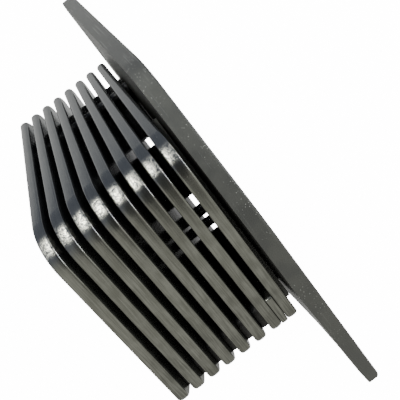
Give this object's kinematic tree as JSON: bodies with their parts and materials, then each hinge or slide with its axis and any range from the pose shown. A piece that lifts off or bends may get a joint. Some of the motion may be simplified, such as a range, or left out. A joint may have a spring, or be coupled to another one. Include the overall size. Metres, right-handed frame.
{
  "type": "clipper guard comb",
  "caption": "Clipper guard comb with parallel knee-shaped teeth, a long shield along one side and a sprung clip that holds the blade.",
  "frame": {"origin": "under the middle of the whole comb, on the surface that it stands on", "axes": "+X towards the side shield, +Y along the teeth towards their free tips, +Z towards the skin side"},
  "size_m": [0.0224, 0.0774, 0.0227],
  "materials": {
    "leaf": "glossy gunmetal-grey moulded plastic",
    "shield": "satin gunmetal-grey moulded plastic with fine scratches",
    "steel": "dark polished steel",
    "clip_steel": "brushed steel sheet",
    "spring_steel": "bright spring wire",
    "pad_rubber": "ribbed matt rubber"
  },
  "bodies": {
    "comb": {"tooth_1": "leaf", "tooth_2": "leaf", "tooth_3": "leaf", "tooth_4": "leaf", "tooth_5": "leaf", "tooth_6": "leaf", "tooth_7": "leaf", "tooth_8": "leaf", "spacer_1": "leaf", "spacer_2": "leaf", "spacer_3": "leaf", "spacer_4": "leaf", "spacer_5": "leaf", "spacer_6": "leaf", "spacer_7": "leaf", "base_plate": "leaf", "front_bar": "leaf", "side_shield": "shield", "shield_rail": "shield", "shield_bush": "steel", "rod_front": "steel", "rod_middle_front": "steel", "rod_middle_back": "steel", "rod_back": "steel", "rod_nuts": "steel", "clip_bracket_left": "clip_steel", "clip_bracket_right": "clip_steel", "clip_pin": "steel", "clip_spring": "spring_steel", "base_rivets": "steel"},
    "clip": {"clip_lever": "clip_steel", "clip_pad": "pad_rubber"}
  },
  "joints": [
    {"name": "clip_press", "type": "hinge", "parent": "comb", "child": "clip", "pos_m": [-0.001, -0.0186, 0.0029], "axis": [-1, 0, 0], "range_deg": [0, 18], "stiffness_Nm_per_rad": 0.15, "springref_deg": -14.32, "deforming": ["clip_spring"]}
  ]
}
